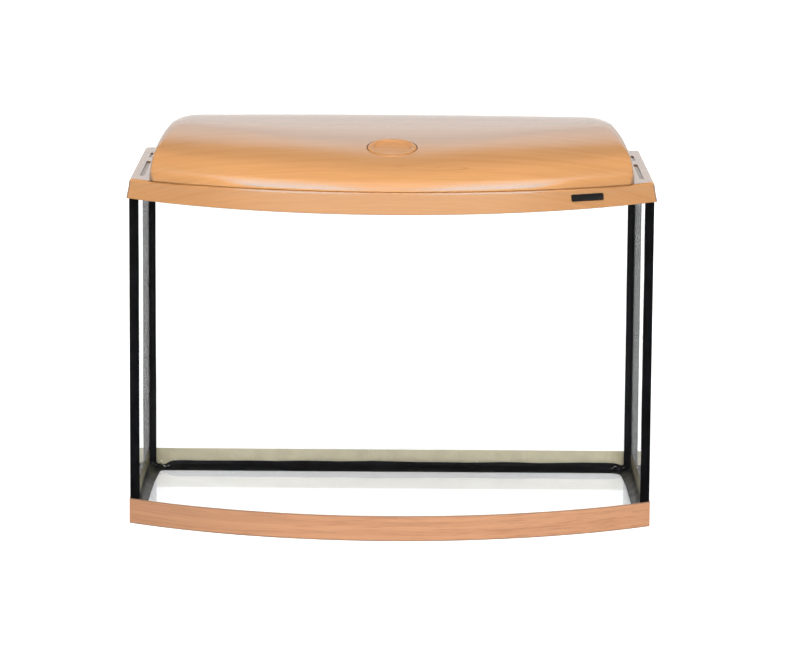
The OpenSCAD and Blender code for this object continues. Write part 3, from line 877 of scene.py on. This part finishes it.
def front_profile(distance):
    """Height of the dome's front above the ledge at a distance from its foot."""
    if distance < FOOT_SPAN:
        angle = math.asin(math.sin(FOOT_STEEP) - max(distance, 0.0) / FOOT_R)
        return REVEAL + FOOT_R * (math.cos(angle) - math.cos(FOOT_STEEP))
    low = REVEAL + FOOT_RISE
    if distance < HATCH_SPAN:
        angle = math.asin(math.sin(FOOT_EASE) - (distance - FOOT_SPAN) / SWELL_R)
        return low + SWELL_R * (math.cos(angle) - math.cos(FOOT_EASE))
    low += SWELL_R * (math.cos(HATCH_TILT) - math.cos(FOOT_EASE))
    beyond = distance - HATCH_SPAN
    return low + beyond * (math.tan(HATCH_TILT) - 0.0003 * beyond)


def shoulder_drop(distance, reach, depth, power):
    """How far a rounded shoulder lies below the crest at a distance from the side."""
    if distance >= reach:
        return 0.0
    return depth * (1 - (1 - (1 - max(distance, 0.0) / reach) ** power) ** (1 / power))


def dome_height(x, y, from_side, from_front, from_back):
    """Height of the dome's skin, in row coordinates."""
    crest = DOME_TOP - CREST_R + math.sqrt(CREST_R**2 - max(y, HATCH_Y) ** 2)
    crest += clamp(-y / 60.0) * BLEND / 4
    crest += min(y - HATCH_Y, 0.0) * math.tan(HATCH_TILT)
    crest -= CROWN * (x / DOME_X) ** 2
    # The shoulders grow softer toward the back.
    behind = ease(clamp((y + 60.0) / 120.0))
    depth = SHOULDER_FRONT + (SHOULDER_BACK - SHOULDER_FRONT) * behind
    crest -= shoulder_drop(from_side, SHOULDER_REACH, depth, SHOULDER_POWER)
    crest -= shoulder_drop(from_back, BACK_REACH, BACK_DEPTH, 2.0)
    fuller = 0.25 * (dome_front_y(x) - dome_front_y(0)) * (1 - math.exp(-from_front / 15.0))
    front = LEDGE_Z + front_profile(from_front + fuller) + BLEND / 4
    level = soft_min(crest, front, BLEND)
    inward = 1 - min(max(from_side, 0.0) / SIDE_LEAN, 1.0)
    wall = LEDGE_Z + SIDE_WALL + (SIDE_TOP - SIDE_WALL) * math.sqrt(1 - inward * inward)
    level = soft_min(level, wall, 3.0)
    edge = min(from_side, from_back)
    if edge < EDGE_R:
        level -= EDGE_R - math.sqrt(EDGE_R**2 - (EDGE_R - max(edge, 0.0)) ** 2)
    return max(level, LEDGE_Z)


def skin_z(x, y):
    """Height of the dome's skin over a plan point away from its corners."""
    return dome_height(x, y, DOME_X - abs(x), y - dome_front_y(x), DOME_BACK - y)


def corner_round(a, b, radius):
    """Pulls the distances from two edges in, so that a square corner becomes round."""
    if a >= radius or b >= radius:
        return a, b
    p, q = 1 - a / radius, 1 - b / radius
    return radius * (1 - p * math.sqrt(1 - q * q / 2)), radius * (1 - q * math.sqrt(1 - p * p / 2))


def spread(low_steps, high_steps, length, pitch):
    """Distances across a length: close steps at both ends and even steps between."""
    middle = length - low_steps[-1] - high_steps[-1]
    count = max(2, round(middle / pitch))
    inner = [low_steps[-1] + middle * k / count for k in range(1, count)]
    return low_steps + inner + [length - d for d in reversed(high_steps)]


def dome_grid():
    """Skin points of the dome as rows from front to back, with plan corners rounded."""
    columns = spread(SIDE_STEPS, SIDE_STEPS, 2 * DOME_X, COLUMN_PITCH)
    depth = DOME_BACK - dome_front_y(0)
    rows = spread(FRONT_STEPS, BACK_STEPS, depth, 4.0)
    low = FRONT_STEPS[-1]
    grid = []
    for j, row in enumerate(rows):
        line = []
        for column in columns:
            x = column - DOME_X
            side = DOME_X - abs(x)
            length = DOME_BACK - dome_front_y(x)
            if j < len(FRONT_STEPS):
                ahead = row
            elif j >= len(rows) - len(BACK_STEPS):
                ahead = length - (depth - row)
            else:
                share = (row - low) / (depth - low - BACK_STEPS[-1])
                ahead = low + share * (length - low - BACK_STEPS[-1])
            behind = length - ahead
            y = dome_front_y(x) + ahead
            z = dome_height(x, y, side, ahead, behind)
            if j == len(rows) - 1 or column in (columns[0], columns[-1]):
                z = LEDGE_Z
            elif j == 0:
                z = LEDGE_Z + REVEAL * min(1.0, side / 3.0)
            side_f, ahead_f = corner_round(side, ahead, 5.0)
            side_b, behind_b = corner_round(side, behind, 18.0)
            new_x = math.copysign(DOME_X - (side_f + side_b - side), x)
            line.append((new_x, y + (ahead_f - ahead) - (behind_b - behind), z))
        grid.append(line)
    return np.array(grid)


def perimeter(i0, i1, j0, j1):
    """Grid indices (row, column) round a block, anticlockwise from its front left corner."""
    loop = [(j0, i) for i in range(i0, i1)]
    loop += [(j, i1) for j in range(j0, j1)]
    loop += [(j1, i) for i in range(i1, i0, -1)]
    loop += [(j, i0) for j in range(j1, j0, -1)]
    return loop


def fillet(centre, radius, start, end, steps=8):
    """Points of an arc between two angles."""
    angles = [start + (end - start) * k / steps for k in range(steps + 1)]
    return [(centre[0] + radius * math.cos(a), centre[1] + radius * math.sin(a)) for a in angles]


def rim_outline(inset, corner=4.0, count=240):
    """Dense closed outline of the rim: four sides, each from corner middle to corner middle."""
    half = RIM_X - inset
    back = RIM_BACK - inset
    lean = math.asin(half / arc_radius(half, RIM_BOW))
    cut = corner * math.tan((math.pi / 2 - lean) / 2)
    stop_x = half - cut * math.cos(lean)
    front_x = [-stop_x + 2 * stop_x * k / count for k in range(count + 1)]
    front = [(x, rim_front_y(x, inset)) for x in front_x]
    front_right = fillet((half - corner, rim_front_y(half, inset) + cut), corner, lean - math.pi / 2, 0.0)
    back_right = fillet((half - corner, back - corner), corner, 0.0, math.pi / 2)
    back_left, front_left = [[(-x, y) for x, y in reversed(arc)] for arc in (back_right, front_right)]
    return [
        front_left[4:] + front + front_right[:5],
        front_right[4:] + back_right[:5],
        back_right[4:] + back_left[:5],
        back_left[4:] + front_left[:5],
    ]


def shares(points):
    """Share of a polyline's length at each of its points."""
    steps = np.hypot(*(points[1:] - points[:-1]).T)
    along = np.concatenate([[0], np.cumsum(steps)])
    return along / along[-1]


def sample(points, fractions):
    """Points at given fractions of a polyline's length."""
    points = np.array(points)
    along = shares(points)
    return np.stack([np.interp(fractions, along, points[:, a]) for a in (0, 1)], axis=1)


def side_fractions(loop_points, lengths):
    """For each side of a loop, the fraction of the side's length at each of its points."""
    fractions = []
    start = 0
    for count in lengths:
        index = [(start + k) % len(loop_points) for k in range(count + 1)]
        fractions.append(shares(loop_points[index, :2])[:-1])
        start += count
    return fractions


def front_fractions(foot_x):
    """As side_fractions for the front, but keeping each point's x except near the two ends."""
    front = np.array(rim_outline(RIM_DRAFT)[0])
    near_end = ease(np.clip((np.abs(foot_x) - (DOME_X - 60.0)) / 60.0, 0.0, 1.0))
    stretched = foot_x * (1 + (front[-1, 0] / DOME_X - 1) * near_end)
    return np.interp(stretched, front[:, 0], shares(front))


def outward(loop_plan):
    """Unit directions pointing out of an anticlockwise loop at each of its points."""
    ahead = np.roll(loop_plan, -1, axis=0) - np.roll(loop_plan, 1, axis=0)
    out = np.stack([ahead[:, 1], -ahead[:, 0]], axis=1)
    return out / np.linalg.norm(out, axis=1, keepdims=True)


def hatch_place(a, b, c):
    """Point from the hatch's own axes: a along X, b up the slope, c square to the dome."""
    y = HATCH_Y + b * math.cos(HATCH_TILT) - c * math.sin(HATCH_TILT)
    z = HATCH_Z + b * math.sin(HATCH_TILT) + c * math.cos(HATCH_TILT)
    return (a, y, z)


def underside(grid):
    """The dome's inner skin: each point moved in along the surface normal."""
    normal = np.cross(np.gradient(grid, axis=1), np.gradient(grid, axis=0))
    length = np.linalg.norm(normal, axis=2, keepdims=True)
    return grid - normal / np.maximum(length, 1e-9) * DOME_T


class Builder:
    """Collects points and quads for one mesh."""

    def __init__(self):
        self.verts = []
        self.faces = []

    def add(self, points):
        start = len(self.verts)
        self.verts.extend(tuple(p) for p in points)
        return list(range(start, len(self.verts)))

    def skin(self, last, rings):
        """Bands from one ring of point numbers over new rings of points; gives the last one."""
        for ring in rings:
            fresh = self.add(ring)
            self.faces += quad_band(last, fresh)
            last = fresh
        return last

    def grid(self, points, hole):
        """Quads over a grid of points except for a block (i0, i1, j0, j1)."""
        rows, cols = points.shape[:2]
        index = np.array(self.add(points.reshape(-1, 3))).reshape(rows, cols)
        i0, i1, j0, j1 = hole
        for j in range(rows - 1):
            for i in range(cols - 1):
                if not (i0 <= i < i1 and j0 <= j < j1):
                    self.faces.append((index[j, i], index[j, i + 1], index[j + 1, i + 1], index[j + 1, i]))
        return index


def rim_rings(foot, cols, fractions):
    """Rings from the dome's foot outward over the ledge, round the rim and back under it."""
    is_front = np.zeros(len(foot))
    is_front[:cols] = np.clip((DOME_X - np.abs(foot[:cols, 0])) / 3.0, 0.0, 1.0)
    crisp = np.clip(1.0 - (foot[:, 1] - foot[0, 1]) / 20.0, 0.0, 1.0)
    crisp[:cols] = 1.0
    plan = foot[:, :2]
    out = outward(plan)
    rings = []

    def ring(points, height):
        height = np.broadcast_to(height, (len(points),))
        rings.append([(x, y, z) for (x, y), z in zip(points, height)])

    def rim(inset):
        """Outline points of the rim matched to the dome's foot points."""
        return np.concatenate([sample(side, f) for side, f in zip(rim_outline(inset), fractions)])

    # A small reveal under the dome's front edge, then the ledge.
    tuck = FOOT_TUCK * is_front[:, None]
    start = plan - out * tuck
    rim_top = LEDGE_Z - RIM_STEP * is_front
    ring(plan - out * tuck * 0.12, foot[:, 2] - 0.22 * is_front)
    ring(start, foot[:, 2] - 0.55 * is_front)
    ring(start, rim_top)
    edge = rim(RIM_DRAFT + RIM_ROUND)
    for share in (0.25, 0.5, 0.75):
        ring(start * (1 - share) + edge * share, rim_top)
    ring(edge, rim_top)
    # Top rounding of the rim, which falls further along the front.
    fall = RIM_ROUND + (RIM_FALL_FRONT - RIM_ROUND) * crisp
    steps = 8
    for step in range(1, steps + 1):
        angle = math.radians(90.0 * step / steps)
        ring(rim(RIM_DRAFT + RIM_ROUND * (1 - math.sin(angle))), rim_top - fall * (1 - math.cos(angle)))
    low = RIM_LOW + RIM_DROP * np.clip((rim(0.0)[:, 1] - RIM_NOSE) / RIM_BOW, 0.0, 1.0)
    for share in (0.25, 0.5, 0.75, 0.94):
        ring(rim(RIM_DRAFT * (1 - share)), rim_top - fall + (low - rim_top + fall) * share)
    # Lower lip, inner wall and the deck that rests on the glass.
    inner_wall = (
        (0.05, low + 0.4), (0.45, low), (1.3, low), (RIM_T - 0.3, low + 0.5), (RIM_T, low + 3.0),
        (RIM_T + 0.4, DECK_Z - 3.0), (RIM_T + 0.9, DECK_Z))
    for inset, height in inner_wall:
        ring(rim(inset), height)
    inner_foot = plan - out * DOME_T
    ring(inner_foot + out * 1.0, DECK_Z)
    ring(inner_foot, DECK_Z + 0.6)
    return rings, inner_foot


def blend_rings(one, two, share):
    return [tuple(np.array(a) * (1 - share) + np.array(b) * share) for a, b in zip(one, two)]


def seat_rings(block, inner_block):
    """Rings of the round hatch seat, from a square block of the outer skin to that of the inner."""
    first_x, first_y, _ = block[0]
    offset = math.atan2((first_y - HATCH_Y) / math.cos(HATCH_TILT), first_x)

    def circle(radius, depth):
        """Evenly spaced ring about the hatch axis, starting at the block's first point."""
        angles = [offset + TAU * k / len(block) for k in range(len(block))]
        return [hatch_place(radius * math.cos(a), radius * math.sin(a), depth) for a in angles]

    def on_skin(points, drop=0.0):
        return [(x, y, skin_z(x, y) - drop) for x, y, _ in points]

    lip = on_skin(circle(HATCH_R + 0.5, 0.0))
    rings = [on_skin(blend_rings(block, lip, share)) for share in (0.25, 0.5, 0.72, 0.88, 0.96)]
    rings.append(lip)
    profile = (
        (HATCH_R + 0.15, -0.12), (HATCH_R, -0.45), (HATCH_R, -5.0), (HATCH_R - 0.2, -5.2), (27.3, -5.2),
        (27.1, -5.0), (27.1, -2.7), (26.9, -2.5), (26.0, -2.5), (25.5, -2.9), (25.5, -6.8), (25.7, -7.0),
        (32.6, -7.0), (33.0, -6.6))
    rings += [circle(radius, depth) for radius, depth in profile]
    rings.append(on_skin(circle(33.0, -3.0), DOME_T + 0.6))
    rings.append(on_skin(circle(33.6, -3.0), DOME_T))
    return rings + [blend_rings(rings[-1], inner_block, share) for share in (0.35, 0.7)]


def build_lid_shell():
    """Dome, ledges and rim as one moulding of even thickness with a round hatch seat."""
    grid = dome_grid()
    rows, cols = grid.shape[:2]
    middle = cols // 2
    reach = 10
    hatch_row = int(np.argmin(np.abs(grid[:, middle, 1] - HATCH_Y)))
    hole = (middle - reach, middle + reach, hatch_row - reach, hatch_row + reach)
    build = Builder()
    outer_index = build.grid(grid, hole)
    loop = perimeter(0, cols - 1, 0, rows - 1)
    foot = np.array([grid[j, i] for j, i in loop])
    fractions = side_fractions(foot, [cols - 1, rows - 1, cols - 1, rows - 1])
    fractions[0] = front_fractions(foot[: cols - 1, 0])
    rings, inner_foot = rim_rings(foot, cols, fractions)
    last = build.skin([outer_index[j, i] for j, i in loop], rings)

    # Inner skin: its edge points sit just inside the foot ring.
    inner = underside(grid)
    for (j, i), (x, y) in zip(loop, inner_foot):
        inner[j, i] = (x, y, DECK_Z + 1.2)
    inner[..., 2] = np.maximum(inner[..., 2], DECK_Z + 1.2)
    inner_index = build.grid(inner, hole)
    build.faces += quad_band(last, [inner_index[j, i] for j, i in loop])

    block = perimeter(*hole)
    seat = seat_rings([grid[j, i] for j, i in block], [inner[j, i] for j, i in block])
    last = build.skin([outer_index[j, i] for j, i in block], seat)
    build.faces += quad_band(last, [inner_index[j, i] for j, i in block])

    shape = (build.verts, build.faces)
    lid = piece("lid_skin", shape, "lid", LID_BEECH, "beech_print_plastic", "lid_shell", sharp=LID_SHARP)
    cut_openings(lid)
    smooth(lid.data, LID_SHARP)
    paint(lid, LID_BEECH)


def prism(outline, low, high):
    """Upright solid over a plan outline."""
    return loft([[(x, y, z) for x, y in outline] for z in (low, high)])


def slot_outline(x, y0, y1, width):
    """Slot with round ends."""
    radius = width / 2
    return fillet((x, y0 + radius), radius, math.pi, TAU) + fillet((x, y1 - radius), radius, 0.0, math.pi)


def cut_openings(obj):
    """Cuts the ledge slots and the two hose openings at the back of the rim."""
    shapes = []
    for side in (-1, 1):
        for y0, y1 in ((-122, 13), (48, 94)):
            slot = slot_outline(side * (HALF_L - 13.0), y0, y1, 5.0)
            shapes.append(prism(slot, LEDGE_Z - 1.3, LEDGE_Z + 4))
    for x in (-210, 210):
        near, far = BACK_Y - 0.4, RIM_BACK + 4
        opening = [(x - 17, near), (x + 17, near), (x + 17, far), (x - 17, far)]
        shapes.append(prism(opening, RIM_LOW - 6, RIM_LOW + 17))
    mesh = clean_mesh("cutter", *join_shapes(shapes))
    cutter = link_object("cutter", mesh)
    cut = obj.modifiers.new("openings", "BOOLEAN")
    cut.operation = "DIFFERENCE"
    cut.solver = "EXACT"
    cut.object = cutter
    bpy.context.view_layer.update()
    ready = obj.evaluated_get(bpy.context.evaluated_depsgraph_get())
    result = bpy.data.meshes.new_from_object(ready)
    obj.modifiers.clear()
    obj.data = result
    bpy.data.objects.remove(cutter)
    bpy.data.meshes.remove(mesh)


def build_lid_underside():
    """Rest ribs and screw posts under the dome, run up into the thickness of the shell."""
    into_shell = 1.2
    shapes = []
    for x in (-200, -100, 0, 100, 200):
        edge = bow_y(x)
        rings = []
        for y in np.linspace(edge - 6.5, edge + 13.5, 9):
            top = skin_z(x, y) - into_shell
            rings.append([(x - 1.5, y, DECK_Z), (x + 1.5, y, DECK_Z), (x + 1.5, y, top), (x - 1.5, y, top)])
        shapes.append(loft(rings))
    tube_y = (TUBE_LOW[1] + TUBE_HIGH[1]) / 2
    posts = [(x, tube_y + dy, LEDGE_Z + 37) for x in (-221, 221) for dy in (-20, 20)]
    posts += [(x, y, CASE_HIGH[2]) for x in (CASE_LOW[0] + 5, CASE_HIGH[0] - 5) for y in (70, 105)]
    for x, y, z in posts:
        top = skin_z(x, y) - into_shell
        profile = [(0, top), (4.0, top), (4.0, z + 0.4), (3.6, z), (1.5, z), (1.5, z + 7), (0, z + 7)]
        shapes.append(lathe(profile, lambda a, b, c: (x + a, y + b, c), 20))
    piece("lid_ribs", join_shapes(shapes), "lid", LID_BEECH, "beech_print_plastic")


def build_plug():
    """Feeding plug: a shallow dish with a raised lip and a skirt."""
    profile = [
        (0, -1.9), (18.6, -1.9), (20.0, -1.75), (20.9, -1.3), (21.5, -0.5), (22.1, 0.2), (22.9, 0.62),
        (24.4, 0.8), (26.0, 0.78), (27.1, 0.5), (27.8, 0.0), (28.0, -0.6), (28.0, -2.1), (27.8, -2.45),
        (25.0, -2.45), (25.0, -8.6), (24.6, -9.0), (23.2, -9.0), (23.0, -8.7), (23.0, -3.7), (0, -3.7),
    ]
    shape = lathe(profile, hatch_place, 96)
    piece("hatch_plug", shape, "hatch", PLUG_BEECH, "beech_print_plastic", "feeding_plug", sharp=50.0)


def build_badge():
    """Small plain plate with rounded ends and a raised border, bent to the rim."""
    width = 41.0
    height = PLATE_HIGH[2] - PLATE_LOW[2] - 0.4
    middle_x = (PLATE_LOW[0] + PLATE_HIGH[0]) / 2
    middle_z = (PLATE_LOW[2] + PLATE_HIGH[2]) / 2
    radius = arc_radius(RIM_X, RIM_BOW)
    turn = math.asin(middle_x / radius)
    rings = []
    for inset, proud in ((0.0, -0.9), (0.0, 0.35), (0.25, 0.6), (0.9, 0.6), (1.1, 0.38)):
        corner = 1.4 - inset * 0.6
        half_s = width / 2 - inset - corner
        half_z = height / 2 - inset - corner
        ring = []
        for cx, cz, start in ((1, -1, -90), (1, 1, 0), (-1, 1, 90), (-1, -1, 180)):
            turn_on = math.radians(start)
            arc = fillet((cx * half_s, cz * half_z), corner, turn_on, turn_on + math.pi / 2, 4)
            for s, z in arc:
                draft = RIM_DRAFT * (middle_z + z - RIM_LOW - 1) / (LEDGE_Z - RIM_LOW)
                out = radius + proud - draft
                bearing = turn + s / radius
                y = RIM_NOSE + radius - out * math.cos(bearing)
                ring.append((out * math.sin(bearing), y, middle_z + z))
        rings.append(ring)
    piece("rim_plate", loft(rings), "lid", BADGE, "badge_plastic", "badge", sharp=40.0)


# CAD pieces that keep their own shape, by material.
KEPT = (
    (TUBE_WHITE, ("lamp_tube",)),
    (PIN_METAL, ("tube_caps", "plug_pins")),
    (GREY, ("lampholder_left", "lampholder_right", "gear_cover")),
    (DARK, ("gear_case", "cord_tie")),
    (RUBBER, ("lamp_seals", "cord_gland", "mains_cord", "plug_body")),
    (SCREW_STEEL, ("holder_screws", "gear_screws")),
    (TIN, ("ballast",)),
    (NYLON, ("terminal_block",)),
    (SLEEVE, ("lamp_lead_left", "lamp_lead_right")),
)

build_glass()
build_corner_beads()
build_base_bead()
build_corner_daubs()
build_trim()
build_lid_shell()
build_lid_underside()
build_plug()
build_badge()
for kept_material, kept_nodes in KEPT:
    for node_name in kept_nodes:
        paint(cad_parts[node_name], kept_material)

# ---------- stage, light and camera ----------


def build_floor():
    """Pale paper, with a dark card in front of the tank that only reflections see."""
    size = 40.0
    mesh = bpy.data.meshes.new("stage_floor")
    corners = [(-size, -size, 0), (size, -size, 0), (size, size, 0), (-size, size, 0)]
    mesh.from_pydata(corners, [], [(0, 1, 2, 3)])
    floor = link_object("stage_floor", mesh)
    floor.location.z = -0.0004
    material, g, shader, surface, output = new_material("stage_paper")
    _, y, _, where = g.position()
    mottle = g.noise(where, 3.0, 3.0).ramp(0.3, 0.7)
    looked_at = g.path("Is Camera Ray").at_least(g.path("Is Transmission Ray"))
    far = g.path("Is Glossy Ray") * y.ramp(2.4, 2.7)
    g.fill(shader, {
        "Base Color": g.mix(mottle, (0.50, 0.50, 0.495), (0.53, 0.53, 0.525)),
        "Roughness": 0.9,
        "Specular IOR Level": 0.1,
        "Emission Color": WHITE,
        "Emission Strength": looked_at.at_least(far) * PAPER_LEVEL,
    })
    card = g.read("Emission", 0, {"Color": CARD_SHADE, "Strength": 1.0})
    ahead = y.fall(-0.10, 0.25) * y.ramp(-3.1, -2.95)
    mixed = g.mix_shaders(g.path("Glossy Depth").at_most(1.0) * ahead, surface, card)
    # Seen from below the paper is clear, so the underside of the tank can be looked at.
    below = g.read("NewGeometry", "Backfacing")
    g.fill(output, {"Surface": g.mix_shaders(below, mixed, g.read("BsdfTransparent", 0))})
    paint(floor, material)


def build_world():
    """A white studio: backdrop behind, grey gap above it, soft boxes overhead and in front."""
    world = bpy.data.worlds.new("studio")
    bpy.context.scene.world = world
    world.use_nodes = True
    # Light-path switches below only hold for rays that reach the world on their own.
    world.cycles.sampling_method = "NONE"
    g = Graph(world.node_tree)
    x, y, z = g.split(g.read("TexCoord", "Generated"))
    height, facing, edge, boxes = studio_levels(x, y, z)
    away = 1.0 - facing
    sideways = abs(x)
    # What lights the surfaces: a broad low light in front and the backdrop behind.
    back_light = height.ramp(30.0, 44.0, 0.7, 0.25)
    front_light = height.ramp(20.0, 38.0) * height.fall(66.0, 88.0) * 5.6
    centred = y.ramp(-0.60, -0.30, 1.0, 0.15)
    lighting = back_light * facing + away * 0.30 + front_light * (centred * away)
    # What surfaces mirror: the backdrop up to its edge and two long boxes overhead.
    lit_back = height.ramp(3.0, 27.0, 0.92, 1.62) * edge.ramp(33.2, 36.8, 1.0, 0.03)
    back_seen = lit_back + height.ramp(46.0, 60.0, 0.0, 0.45)
    low_front = height.ramp(10.0, 20.0, 2.4, 0.30) * sideways.ramp(0.45, 0.85, 1.0, 0.35)
    mirrored = back_seen * facing + away * low_front + boxes * BOX_LEVEL
    mirrored = mirrored + sideways.ramp(0.55, 0.85, 0.0, 0.9) * facing
    diffuse = g.path("Is Diffuse Ray")
    # Looked at straight or only through glass: no bounce other than transmission.
    bounces = g.path("Diffuse Depth") + g.path("Glossy Depth")
    seen = 1.0 - bounces.at_most(1.0)
    level = lighting * diffuse + mirrored * (1.0 - diffuse)
    level = level * (1.0 - seen) + seen * SEEN_LEVEL
    shade = g.read("Background", 0, {"Color": WHITE, "Strength": level})
    g.node("OutputWorld", {"Surface": shade})


def build_camera():
    """Long lens a little above the lid, looking slightly down, with a trace of roll."""
    data = bpy.data.cameras.new("camera")
    data.sensor_width = 36.0
    data.lens = 180.0
    data.clip_end = 200.0
    camera = link_object("camera", data)
    yaw, pitch, roll = math.radians(0.076), math.radians(9.485), math.radians(-0.406)
    turn = Matrix.Rotation(-yaw, 4, "Z") @ Matrix.Rotation(math.pi / 2 - pitch, 4, "X")
    turn = turn @ Matrix.Rotation(-roll, 4, "Z")
    camera.matrix_world = Matrix.Translation((0.0044, -4.6776, 0.9934)) @ turn
    bpy.context.scene.camera = camera


build_floor()
build_world()
build_camera()
scene = bpy.context.scene
scene.view_settings.view_transform = "Standard"
scene.cycles.max_bounces = 24
scene.cycles.transmission_bounces = 20
scene.cycles.transparent_max_bounces = 24
scene.cycles.glossy_bounces = 8
